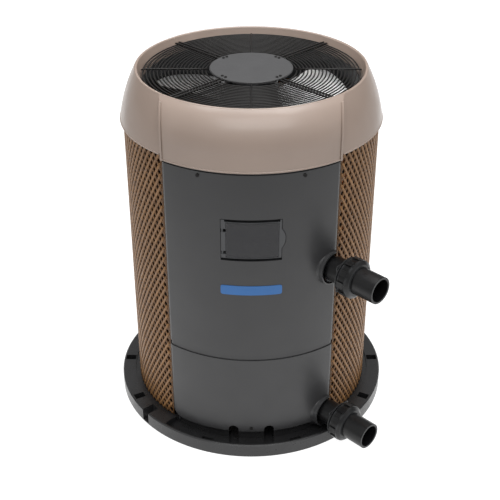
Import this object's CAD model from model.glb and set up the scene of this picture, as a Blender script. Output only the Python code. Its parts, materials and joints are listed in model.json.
import json
import math

import bpy
import numpy as np
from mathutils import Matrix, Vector


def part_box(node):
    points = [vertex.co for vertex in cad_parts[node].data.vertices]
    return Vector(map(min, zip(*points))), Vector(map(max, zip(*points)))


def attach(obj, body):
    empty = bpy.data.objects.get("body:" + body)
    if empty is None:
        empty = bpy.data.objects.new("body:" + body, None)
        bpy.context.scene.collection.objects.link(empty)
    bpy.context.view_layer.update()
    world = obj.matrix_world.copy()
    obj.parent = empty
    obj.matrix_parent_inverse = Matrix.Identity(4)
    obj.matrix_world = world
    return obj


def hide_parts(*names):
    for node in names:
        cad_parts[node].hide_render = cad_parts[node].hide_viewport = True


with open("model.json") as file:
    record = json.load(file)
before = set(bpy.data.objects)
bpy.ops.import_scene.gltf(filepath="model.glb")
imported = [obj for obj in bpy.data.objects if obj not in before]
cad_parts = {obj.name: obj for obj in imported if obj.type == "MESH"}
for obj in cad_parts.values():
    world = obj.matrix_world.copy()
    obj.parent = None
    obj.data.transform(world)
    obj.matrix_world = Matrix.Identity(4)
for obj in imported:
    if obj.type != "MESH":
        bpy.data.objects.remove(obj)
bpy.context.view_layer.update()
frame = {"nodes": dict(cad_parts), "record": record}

nodes = frame["nodes"]

# Lengths are in metres. Azimuths run from the front, positive towards +X.

# Coil guard: the stretch it covers, its lozenges, its strands, and the depths between which it darkens
GUARD_START, GUARD_END = math.radians(41.1), math.radians(318.9)
NET_WIDTH = 0.0178
NET_HEIGHT = 0.0301
NET_STEPS = 3
NET_INSET = 0.0010
NET_DEEP, NET_FACE = 0.3335, 0.3382
STRAND_WIDTH = 0.0040
STRAND_DEPTH = 0.0036
STRAND_SHIFT = 0.0007
STRAND_SPREAD = 0.22
HEM_WIDTH = 0.004
HEM_DEPTH = 0.0015

# Water pipes that pass the guard along x + y = -PIPE_OFFSET
PIPE_OFFSET = 0.072
PIPE_HEIGHTS = (0.549, 0.078)
PIPE_CLEAR = 0.041

FINS_AROUND = 988

# Fan guard: wire rings, single rods, and pairs of heavy bars
RING_COUNT = 18
RING_FIRST, RING_LAST = 0.118, 0.281
WIRE_RADIUS = 0.0019
GUARD_HEIGHT = 0.977
BAR_HEIGHT = 0.9805
BAR_RADIUS = 0.0025
BAR_SIDE = 0.006

# Floor: half its width, and its own light near the unit and far from it
FLOOR_HALF = 14.0
FLOOR_NEAR, FLOOR_FAR = 0.95, 0.30

# Camera
CAMERA_PLACE = (0.0, -2.4856, 1.9171)
CAMERA_TARGET = (0, 0, 0.4335)
CAMERA_LENS = 72.607
CAMERA_SHIFT = -0.0026


# ---------------------------------------------------------------- materials
def srgb(r, g, b):
    """Linear colour for an sRGB triple from 0 to 255."""
    out = []
    for c in (r, g, b):
        c = c / 255
        out.append(c / 12.92 if c <= 0.04045 else ((c + 0.055) / 1.055) ** 2.4)
    return (*out, 1.0)


def blank_material(name):
    mat = bpy.data.materials.new(name)
    mat.use_nodes = True
    tree = mat.node_tree
    shader = tree.nodes["Principled BSDF"]
    return mat, tree, shader


def object_noise(tree, scale, detail=3.0, roughness=0.55, stretch=(1, 1, 1)):
    """Noise in object space; its output is the Fac socket."""
    coords = tree.nodes.new("ShaderNodeTexCoord")
    mapping = tree.nodes.new("ShaderNodeMapping")
    mapping.inputs["Scale"].default_value = stretch
    noise = tree.nodes.new("ShaderNodeTexNoise")
    noise.inputs["Scale"].default_value = scale
    noise.inputs["Detail"].default_value = detail
    noise.inputs["Roughness"].default_value = roughness
    tree.links.new(coords.outputs["Object"], mapping.inputs["Vector"])
    tree.links.new(mapping.outputs["Vector"], noise.inputs["Vector"])
    return noise.outputs["Fac"]


def remap(tree, value, low, high, from_low=0.3, from_high=0.7):
    node = tree.nodes.new("ShaderNodeMapRange")
    node.inputs["From Min"].default_value = from_low
    node.inputs["From Max"].default_value = from_high
    node.inputs["To Min"].default_value = low
    node.inputs["To Max"].default_value = high
    tree.links.new(value, node.inputs["Value"])
    return node.outputs["Result"]


def mixed_colour(tree, factor, first, second):
    """Mixes two colours; each is a fixed colour or an output socket."""
    node = tree.nodes.new("ShaderNodeMix")
    node.data_type = "RGBA"
    first_input, second_input = 6, 7     # the Mix node's colour sockets
    for socket, colour in ((first_input, first), (second_input, second)):
        if isinstance(colour, bpy.types.NodeSocket):
            tree.links.new(colour, node.inputs[socket])
        else:
            node.inputs[socket].default_value = colour
    tree.links.new(factor, node.inputs[0])
    return node.outputs[2]


def add_bump(tree, shader, height, strength, distance):
    """Adds a bump on top of the ones the shader already has."""
    node = tree.nodes.new("ShaderNodeBump")
    node.inputs["Strength"].default_value = strength
    node.inputs["Distance"].default_value = distance
    tree.links.new(height, node.inputs["Height"])
    if shader.inputs["Normal"].is_linked:
        tree.links.new(shader.inputs["Normal"].links[0].from_socket, node.inputs["Normal"])
    tree.links.new(node.outputs["Normal"], shader.inputs["Normal"])


def scaled(colour, factor):
    return (*[min(1.0, c * factor) for c in colour[:3]], 1.0)


def worn_edges(tree, tint, amount, wear_colour):
    """Lightens convex edges, from the pointiness of the surface."""
    geometry = tree.nodes.new("ShaderNodeNewGeometry")
    edge = remap(tree, geometry.outputs["Pointiness"], 0.0, amount, 0.52, 0.60)
    return mixed_colour(tree, edge, tint, wear_colour)


def surface(name, colour, rough, metallic=0.0, specular=0.5, coat=0.0, coat_rough=0.1,
            mottle=0.12, mottle_scale=14.0, rough_spread=0.06, grain=420.0, grain_strength=0.12,
            grain_depth=0.0004, wear=0.0, wear_colour=None):
    """Material with mottled colour, uneven gloss and a fine grain in its surface."""
    mat, tree, shader = blank_material(name)
    broad = object_noise(tree, mottle_scale)
    factor = remap(tree, broad, 0.0, 1.0)
    tint = mixed_colour(tree, factor, scaled(colour, 1 - mottle), scaled(colour, 1 + mottle))
    if wear:
        tint = worn_edges(tree, tint, wear, wear_colour or scaled(colour, 2.0))
    tree.links.new(tint, shader.inputs["Base Color"])
    patches = object_noise(tree, mottle_scale * 3.1, detail=5.0)
    tree.links.new(remap(tree, patches, rough - rough_spread, rough + rough_spread),
                   shader.inputs["Roughness"])
    shader.inputs["Metallic"].default_value = metallic
    shader.inputs["Specular IOR Level"].default_value = specular
    shader.inputs["Coat Weight"].default_value = coat
    shader.inputs["Coat Roughness"].default_value = coat_rough
    if grain_strength:
        add_bump(tree, shader, object_noise(tree, grain, detail=2.0), grain_strength, grain_depth)
    return mat


def axis_distance(tree, coords):
    """Distance of a point from the cabinet's upright axis."""
    flat = tree.nodes.new("ShaderNodeVectorMath")
    flat.operation = "MULTIPLY"
    flat.inputs[1].default_value = (1, 1, 0)
    size = tree.nodes.new("ShaderNodeVectorMath")
    size.operation = "LENGTH"
    tree.links.new(coords.outputs["Object"], flat.inputs[0])
    tree.links.new(flat.outputs["Vector"], size.inputs[0])
    return size.outputs["Value"]


def net_material():
    """Moulded net: lighter on its face, dark and dusty deep in its openings."""
    mat, tree, shader = blank_material("net_brown")
    coords = tree.nodes.new("ShaderNodeTexCoord")
    depth = remap(tree, axis_distance(tree, coords), 0.0, 1.0, NET_DEEP, NET_FACE)
    mottle = remap(tree, object_noise(tree, 60.0), 0.0, 1.0)
    face = mixed_colour(tree, mottle, srgb(116, 80, 44), srgb(150, 108, 62))
    tint = mixed_colour(tree, depth, srgb(40, 20, 4), face)
    tree.links.new(tint, shader.inputs["Base Color"])
    tree.links.new(remap(tree, object_noise(tree, 180.0), 0.42, 0.60), shader.inputs["Roughness"])
    add_bump(tree, shader, object_noise(tree, 1500.0, detail=2.0), 0.15, 0.0004)
    return mat


def fin_material():
    """Stacked coil fins: fine upright sheets around the cabinet's axis."""
    mat, tree, shader = blank_material("coil_fins")
    coords = tree.nodes.new("ShaderNodeTexCoord")
    split = tree.nodes.new("ShaderNodeSeparateXYZ")
    angle = tree.nodes.new("ShaderNodeMath")
    angle.operation = "ARCTAN2"
    tree.links.new(coords.outputs["Object"], split.inputs["Vector"])
    tree.links.new(split.outputs["Y"], angle.inputs[0])
    tree.links.new(split.outputs["X"], angle.inputs[1])
    wave = tree.nodes.new("ShaderNodeMath")
    wave.operation = "MULTIPLY"
    wave.inputs[1].default_value = FINS_AROUND
    tree.links.new(angle.outputs[0], wave.inputs[0])
    sine = tree.nodes.new("ShaderNodeMath")
    sine.operation = "SINE"
    tree.links.new(wave.outputs[0], sine.inputs[0])
    stripes = remap(tree, sine.outputs[0], 0.0, 1.0, -0.6, 0.8)
    tint = mixed_colour(tree, stripes, srgb(78, 46, 14), srgb(146, 100, 48))
    tree.links.new(tint, shader.inputs["Base Color"])
    shader.inputs["Metallic"].default_value = 0.35
    shader.inputs["Roughness"].default_value = 0.5
    add_bump(tree, shader, stripes, 0.6, 0.0008)
    return mat


def brushed_metal(name, colour, rough, scale=60.0, stretch=(1, 1, 12)):
    """Metal with fine drawn or brushed lines along one axis."""
    mat, tree, shader = blank_material(name)
    lines = object_noise(tree, scale, detail=6.0, roughness=0.7, stretch=stretch)
    factor = remap(tree, lines, 0.0, 1.0)
    tint = mixed_colour(tree, factor, scaled(colour, 0.82), scaled(colour, 1.12))
    tree.links.new(tint, shader.inputs["Base Color"])
    tree.links.new(remap(tree, lines, rough - 0.07, rough + 0.09), shader.inputs["Roughness"])
    shader.inputs["Metallic"].default_value = 1.0
    add_bump(tree, shader, lines, 0.08, 0.0004)
    return mat


def clear_plastic(name, tint, rough, transmission):
    """Smoked sheet that lets some of what is behind it through."""
    mat, tree, shader = blank_material(name)
    haze = object_noise(tree, 12.0, detail=2.0)
    tree.links.new(remap(tree, haze, rough, rough + 0.04), shader.inputs["Roughness"])
    shader.inputs["Base Color"].default_value = tint
    shader.inputs["Transmission Weight"].default_value = transmission
    shader.inputs["IOR"].default_value = 1.2
    return mat


MATERIALS = {
    "base_plastic": surface("base_plastic", srgb(35, 35, 36), 0.30, specular=0.5, grain=900.0,
                            grain_strength=0.22, grain_depth=0.0006, mottle=0.18, wear=0.25),
    "mesh_plastic": net_material(),
    "fin_stock": fin_material(),
    "copper": brushed_metal("copper", srgb(190, 110, 70), 0.32),
    "zinc_sheet": brushed_metal("zinc_sheet", srgb(160, 163, 166), 0.38, scale=45.0, stretch=(1, 1, 2)),
    "panel_paint": surface("panel_paint", srgb(50, 50, 51), 0.36, specular=0.5, mottle=0.05,
                           mottle_scale=6.0, grain=1300.0, grain_strength=0.20, grain_depth=0.0003),
    "shroud_plastic": surface("shroud_plastic", srgb(150, 133, 122), 0.36, specular=0.5, coat=0.35,
                              coat_rough=0.16, mottle=0.04, mottle_scale=5.0, grain=1100.0,
                              grain_strength=0.08, grain_depth=0.0003),
    "cover_plastic": surface("cover_plastic", srgb(62, 63, 65), 0.35, mottle=0.06, grain=1400.0),
    "smoked_window": clear_plastic("smoked_window", srgb(96, 96, 98), 0.06, 0.6),
    "display_glass": surface("display_glass", srgb(20, 26, 24), 0.12, coat=0.6, grain_strength=0.03),
    "plaque": surface("plaque", srgb(38, 98, 160), 0.34, mottle=0.03, grain_strength=0.03),
    "key_plastic": surface("key_plastic", srgb(150, 152, 155), 0.45, mottle=0.06),
    "circuit_board": surface("circuit_board", srgb(20, 95, 55), 0.40, mottle=0.3, mottle_scale=120.0),
    "pipe_plastic": surface("pipe_plastic", srgb(15, 15, 16), 0.34, specular=0.35, mottle=0.15,
                            mottle_scale=25.0, grain=1200.0, grain_strength=0.10, wear=0.25,
                            wear_colour=srgb(92, 94, 96)),
    "guard_paint": surface("guard_paint", srgb(22, 20, 19), 0.46, specular=0.3, mottle=0.2,
                           mottle_scale=90.0, grain=2000.0, grain_strength=0.10),
    "plate_paint": surface("plate_paint", srgb(62, 62, 63), 0.50, mottle=0.04, grain=1200.0,
                           grain_strength=0.12),
    "motor_shell": surface("motor_shell", srgb(70, 71, 73), 0.42, mottle=0.1),
    "machinery_paint": surface("machinery_paint", srgb(34, 34, 36), 0.35, mottle=0.12),
    "blade_aluminium": surface("blade_aluminium", srgb(250, 250, 250), 0.34, metallic=0.95, mottle=0.03,
                               rough_spread=0.02, grain_strength=0.02),
    "screw_steel": brushed_metal("screw_steel", srgb(150, 151, 153), 0.30, scale=200.0),
    "titanium": brushed_metal("titanium", srgb(140, 136, 132), 0.35),
    "brass_body": brushed_metal("brass_body", srgb(190, 155, 90), 0.30),
    "rubber": surface("rubber", srgb(30, 30, 31), 0.75, specular=0.25, grain=1200.0, grain_strength=0.2),
}


def paint(obj, material):
    obj.data.materials.clear()
    obj.data.materials.append(MATERIALS[material])


slot_of = {row["node"]: row["material_slot"] for row in frame["record"]["subparts"]}
for node_name, node in nodes.items():
    paint(node, slot_of[node_name])


# ---------------------------------------------------------------- mesh helpers
def make_piece(name, vertices, faces, material):
    """Smooth-shaded mesh piece that rides on the cabinet."""
    mesh = bpy.data.meshes.new(name)
    mesh.from_pydata([tuple(map(float, v)) for v in vertices], [], [tuple(map(int, f)) for f in faces])
    mesh.update()
    mesh.polygons.foreach_set("use_smooth", [True] * len(mesh.polygons))
    obj = bpy.data.objects.new(name, mesh)
    bpy.context.scene.collection.objects.link(obj)
    paint(obj, material)
    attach(obj, "cabinet")
    return obj


class Bundle:
    """Collects many small swept shapes into one mesh."""

    def __init__(self):
        self.vertices = []
        self.faces = []
        self.count = 0

    def add(self, points, faces):
        self.vertices.append(np.asarray(points, float))
        self.faces.extend([[i + self.count for i in face] for face in faces])
        self.count += len(points)

    def sweep(self, path, normals, radius_a, radius_b, sides=6, closed=False):
        """Sweeps an ellipse along a path; normals give the axis of its first radius."""
        path = np.asarray(path, float)
        normals = np.asarray(normals, float)
        count = len(path)
        if closed:
            tangents = np.roll(path, -1, axis=0) - np.roll(path, 1, axis=0)
        else:
            tangents = np.gradient(path, axis=0)
        tangents /= np.linalg.norm(tangents, axis=1)[:, None]
        normals = normals - (normals * tangents).sum(1)[:, None] * tangents
        normals /= np.linalg.norm(normals, axis=1)[:, None]
        across = np.cross(tangents, normals)
        angles = 2 * math.pi * (np.arange(sides) + 0.5) / sides
        reach_a = np.broadcast_to(radius_a, count)[:, None] * np.cos(angles)[None, :]
        reach_b = np.broadcast_to(radius_b, count)[:, None] * np.sin(angles)[None, :]
        rings = (path[:, None, :] + normals[:, None, :] * reach_a[:, :, None]
                 + across[:, None, :] * reach_b[:, :, None])
        faces = []
        last = count if closed else count - 1
        for i in range(last):
            j = (i + 1) % count
            for k in range(sides):
                m = (k + 1) % sides
                faces.append([i * sides + k, j * sides + k, j * sides + m, i * sides + m])
        if not closed:
            faces.append(list(range(sides)))
            faces.append([(count - 1) * sides + k for k in reversed(range(sides))])
        self.add(rings.reshape(-1, 3), faces)

    def piece(self, name, material):
        return make_piece(name, np.concatenate(self.vertices), self.faces, material)


def on_circle(radius, azimuth, height):
    """Points at azimuths in radians from the front, positive towards +X."""
    azimuth = np.asarray(azimuth, float)
    return np.stack([radius * np.sin(azimuth), -radius * np.cos(azimuth),
                     np.broadcast_to(height, azimuth.shape)], axis=-1)


def outward(azimuth):
    """Level unit vectors away from the axis."""
    return on_circle(1.0, azimuth, 0.0)


# ---------------------------------------------------------------- coil guard mesh
def clear_runs(azimuths, heights, radius):
    """Stretches of a strand that lie on the guard and clear of the water pipes."""
    points = on_circle(radius, azimuths, heights)
    clear = (azimuths >= GUARD_START) & (azimuths <= GUARD_END)
    aside = (points[:, 0] + points[:, 1] + PIPE_OFFSET) * math.sqrt(0.5)
    for height in PIPE_HEIGHTS:
        near = np.hypot(aside, points[:, 2] - height) < PIPE_CLEAR
        clear &= ~(near & (points[:, 0] > 0) & (points[:, 1] < 0))
    kept = np.flatnonzero(clear)
    if not len(kept):
        return []
    runs = np.split(kept, np.flatnonzero(np.diff(kept) > 1) + 1)
    return [run for run in runs if len(run) > 2]


def coil_net():
    """Two crossing families of slanted strands, with a hem all round."""
    low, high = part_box("coil_guard")
    radius = high.y - STRAND_DEPTH - NET_INSET
    bottom, top = low.z + 0.0005, high.z - 0.0005
    net = Bundle()
    slope = NET_WIDTH / radius / NET_HEIGHT
    span = (top - bottom) * slope
    step = NET_WIDTH / radius
    first = int(math.floor((GUARD_START - span) / step))
    last = int(math.ceil((GUARD_END + span) / step))
    for direction in (1, -1):
        for index in range(first, last + 1):
            heights = np.append(np.arange(bottom, top, NET_HEIGHT / NET_STEPS), top)
            azimuths = index * step + direction * (heights - bottom) * slope
            for run in clear_runs(azimuths, heights, radius):
                around, up = azimuths[run], heights[run]
                lead = -direction * np.sin(around)
                path = outward(around) * (radius + STRAND_SHIFT * lead)[:, None]
                path[:, 2] = up
                depth = STRAND_DEPTH - STRAND_SHIFT * (1 - lead) / 2
                net.sweep(path, outward(around), depth, STRAND_WIDTH * (1 + STRAND_SPREAD * lead))
    for height in (bottom + HEM_WIDTH, top - HEM_WIDTH):
        azimuths = np.linspace(GUARD_START, GUARD_END, 220)
        net.sweep(on_circle(radius, azimuths, height), outward(azimuths), HEM_DEPTH, HEM_WIDTH)
    for azimuth in (GUARD_START + 0.006, GUARD_END - 0.006):
        heights = np.linspace(bottom, top, 30)
        azimuths = np.full(30, azimuth)
        net.sweep(on_circle(radius, azimuths, heights), outward(azimuths), HEM_DEPTH, HEM_WIDTH)
    piece = net.piece("coil_net", "mesh_plastic")
    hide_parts("coil_guard")


coil_net()


# ---------------------------------------------------------------- fan guard
def fan_guard_wires():
    """Wire rings with four single rods and four pairs of bars that bend down at their ends."""
    wires = Bundle()
    azimuths = np.linspace(0, 2 * math.pi, 160, endpoint=False)
    for radius in np.linspace(RING_FIRST, RING_LAST, RING_COUNT):
        wires.sweep(on_circle(radius, azimuths, GUARD_HEIGHT), outward(azimuths), WIRE_RADIUS,
                    WIRE_RADIUS, sides=8, closed=True)
    top = GUARD_HEIGHT + 2 * WIRE_RADIUS - 0.0004
    for azimuth in np.radians((0, 90, 180, 270)):
        radii = np.array([0.112, 0.16, 0.22, 0.27, 0.280, 0.286])
        drop = np.array([0, 0, 0, 0, -0.0006, -0.0030])
        angles = np.full(len(radii), azimuth)
        path = outward(angles) * radii[:, None]
        path[:, 2] = top + drop
        wires.sweep(path, np.tile((0, 0, 1), (len(radii), 1)), WIRE_RADIUS, WIRE_RADIUS, sides=8)
    for azimuth in np.radians((45, 135, 225, 315)):
        for side in (-BAR_SIDE, BAR_SIDE):
            radii = np.array([0.079, 0.12, 0.18, 0.24, 0.278, 0.289])
            drop = np.array([0, 0, 0, 0, 0, -0.0012])
            sideways = np.array([math.cos(azimuth), math.sin(azimuth), 0]) * side
            path = outward(np.full(len(radii), azimuth)) * radii[:, None] + sideways
            path[:, 2] = BAR_HEIGHT + drop
            wires.sweep(path, np.tile((0, 0, 1), (len(radii), 1)), BAR_RADIUS, BAR_RADIUS, sides=10)
    piece = wires.piece("fan_guard_wires", "guard_paint")
    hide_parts("fan_guard")


fan_guard_wires()


# ---------------------------------------------------------------- stage, lights and camera
def floor_material():
    """Pale floor, brightest behind the unit and fading in front and to the sides."""
    mat, tree, shader = blank_material("floor_white")
    tint = mixed_colour(tree, object_noise(tree, 2.0), (0.28, 0.28, 0.28, 1), (0.32, 0.32, 0.32, 1))
    tree.links.new(tint, shader.inputs["Base Color"])
    shader.inputs["Roughness"].default_value = 0.9
    shader.inputs["Specular IOR Level"].default_value = 0.1
    coords = tree.nodes.new("ShaderNodeTexCoord")
    split = tree.nodes.new("ShaderNodeSeparateXYZ")
    tree.links.new(coords.outputs["Object"], split.inputs["Vector"])
    sideways = tree.nodes.new("ShaderNodeMath")
    sideways.operation = "ABSOLUTE"
    tree.links.new(split.outputs["X"], sideways.inputs[0])
    widening = tree.nodes.new("ShaderNodeMath")
    widening.operation = "MULTIPLY_ADD"
    widening.inputs[1].default_value = -0.25
    tree.links.new(split.outputs["Y"], widening.inputs[0])
    tree.links.new(sideways.outputs["Value"], widening.inputs[2])
    side_level = remap(tree, widening.outputs["Value"], FLOOR_NEAR, FLOOR_FAR, 1.1, 2.3)
    front_level = remap(tree, split.outputs["Y"], FLOOR_FAR, FLOOR_NEAR, -2.2, -0.8)
    lower = tree.nodes.new("ShaderNodeMath")
    lower.operation = "MINIMUM"
    tree.links.new(side_level, lower.inputs[0])
    tree.links.new(front_level, lower.inputs[1])
    shader.inputs["Emission Color"].default_value = (1, 1, 1, 1)
    tree.links.new(lower.outputs["Value"], shader.inputs["Emission Strength"])
    return mat


def make_floor():
    mesh = bpy.data.meshes.new("floor")
    corners = [(-1, -1), (1, -1), (1, 1), (-1, 1)]
    mesh.from_pydata([(FLOOR_HALF * x, FLOOR_HALF * y, 0) for x, y in corners], [], [(0, 1, 2, 3)])
    obj = bpy.data.objects.new("floor", mesh)
    obj.location.z = -0.0005
    obj.data.materials.append(floor_material())
    bpy.context.scene.collection.objects.link(obj)


def area_light(name, place, target, width, height, power):
    data = bpy.data.lights.new(name, "AREA")
    data.shape = "RECTANGLE"
    data.size, data.size_y = width, height
    data.energy = power
    obj = bpy.data.objects.new(name, data)
    obj.location = place
    obj.rotation_euler = (Vector(target) - Vector(place)).to_track_quat("-Z", "Y").to_euler()
    bpy.context.scene.collection.objects.link(obj)


def make_world(low, high, key):
    """Soft studio dome, brighter towards the key direction."""
    world = bpy.data.worlds.new("studio")
    world.use_nodes = True
    tree = world.node_tree
    coords = tree.nodes.new("ShaderNodeTexCoord")
    facing = tree.nodes.new("ShaderNodeVectorMath")
    facing.operation = "DOT_PRODUCT"
    facing.inputs[1].default_value = Vector(key).normalized()
    tree.links.new(coords.outputs["Generated"], facing.inputs[0])
    level = remap(tree, facing.outputs["Value"], low, high, -0.15, 1.0)
    background = tree.nodes["Background"]
    background.inputs["Color"].default_value = (1, 1, 1, 1)
    tree.links.new(level, background.inputs["Strength"])
    bpy.context.scene.world = world


def make_camera():
    data = bpy.data.cameras.new("camera")
    data.sensor_width = 36.0
    data.lens = CAMERA_LENS
    data.shift_x = CAMERA_SHIFT
    data.clip_end = 60.0
    obj = bpy.data.objects.new("camera", data)
    obj.location = CAMERA_PLACE
    obj.rotation_mode = "QUATERNION"
    obj.rotation_quaternion = (Vector(CAMERA_TARGET) - obj.location).to_track_quat("-Z", "Y")
    bpy.context.scene.collection.objects.link(obj)
    bpy.context.scene.camera = obj


make_floor()
make_world(0.04, 0.95, (0, -0.25, 0.97))
area_light("key", (0.2, -2.4, 3.8), (0, 0, 0.8), 3.6, 2.0, 50)
area_light("top", (0.1, 0.5, 3.6), (0, 0, 0.9), 3.0, 2.2, 90)
area_light("left_strip", (-3.0, -1.2, 1.2), (0, 0, 0.6), 0.5, 2.4, 2)
area_light("right_strip", (3.0, -1.2, 1.2), (0, 0, 0.6), 0.5, 2.4, 2)
make_camera()
bpy.context.scene.view_settings.view_transform = "Standard"
